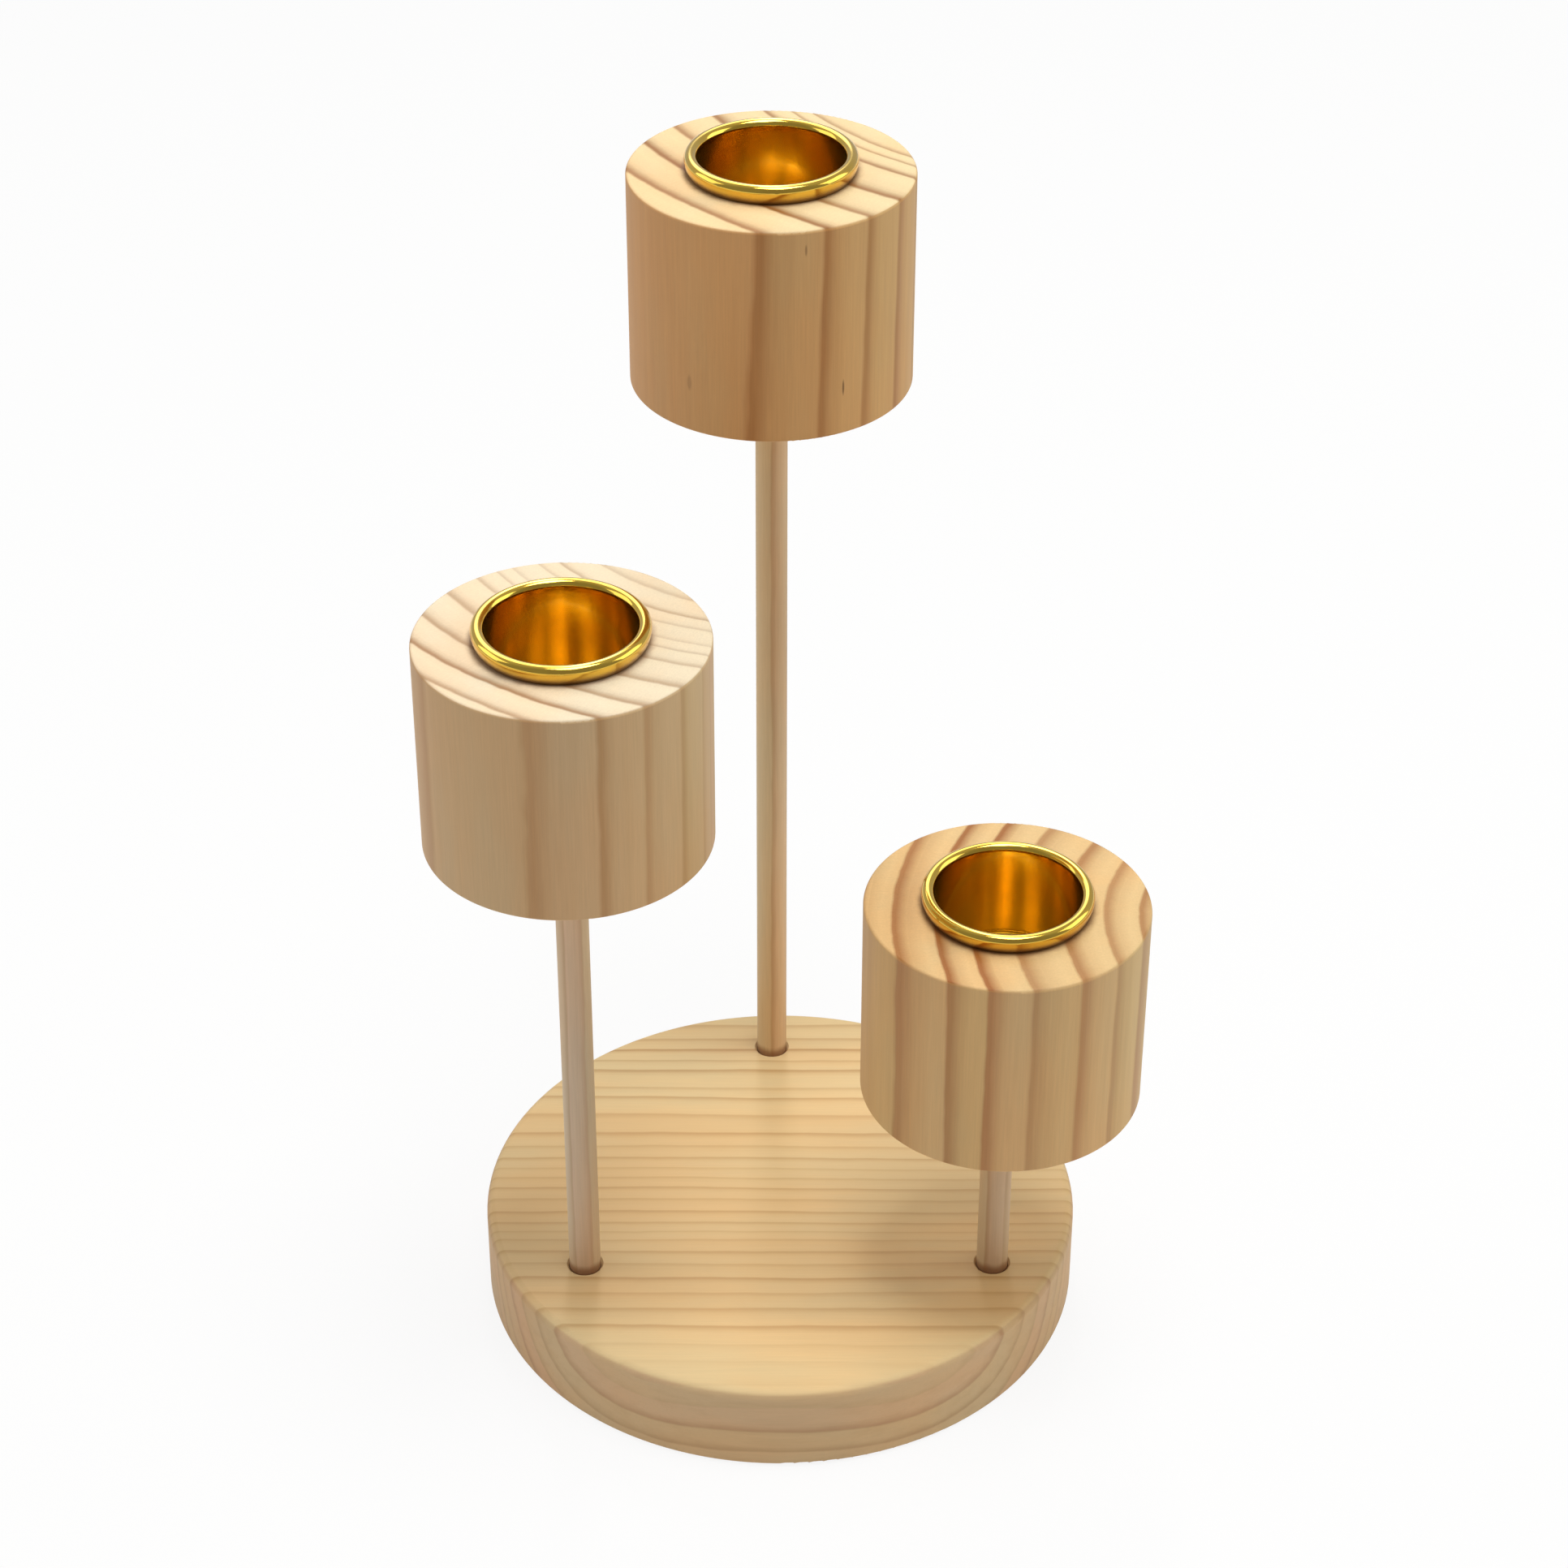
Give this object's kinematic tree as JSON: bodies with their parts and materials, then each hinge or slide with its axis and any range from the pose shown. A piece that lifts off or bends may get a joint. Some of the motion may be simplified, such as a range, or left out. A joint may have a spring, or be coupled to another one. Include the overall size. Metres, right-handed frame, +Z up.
{
  "type": "candelabra",
  "caption": "Pine candelabra: a round base with thin stems of stepped height, each carrying a wooden drum with a lift-out brass cup for a dinner candle.",
  "frame": {"origin": "centre of the base's underside, on the surface that the object stands on", "axes": "+Z up, along the stems; -Y towards the viewer, with the tallest stem at the back (+Y), the middle one front left (-X) and the short one front right (+X)"},
  "size_m": [0.1128, 0.1125, 0.1896],
  "materials": {
    "base_pine": "sanded, bare",
    "stem_pine": "sanded, bare",
    "head_pine": "sanded, bare",
    "cup_brass": "polished"
  },
  "bodies": {
    "stand": {"base_disc": "base_pine", "tall_stem": "stem_pine", "tall_head": "head_pine", "middle_stem": "stem_pine", "middle_head": "head_pine", "short_stem": "stem_pine", "short_head": "head_pine"},
    "tall_cup_body": {"tall_cup": "cup_brass"},
    "middle_cup_body": {"middle_cup": "cup_brass"},
    "short_cup_body": {"short_cup": "cup_brass"}
  },
  "joints": [
    {"name": "tall_cup_lift", "type": "slide", "parent": "stand", "child": "tall_cup_body", "axis": [0, 0, 1], "range_m": [0, 0.022]},
    {"name": "middle_cup_lift", "type": "slide", "parent": "stand", "child": "middle_cup_body", "axis": [0, 0, 1], "range_m": [0, 0.022]},
    {"name": "short_cup_lift", "type": "slide", "parent": "stand", "child": "short_cup_body", "axis": [0, 0, 1], "range_m": [0, 0.022]}
  ]
}
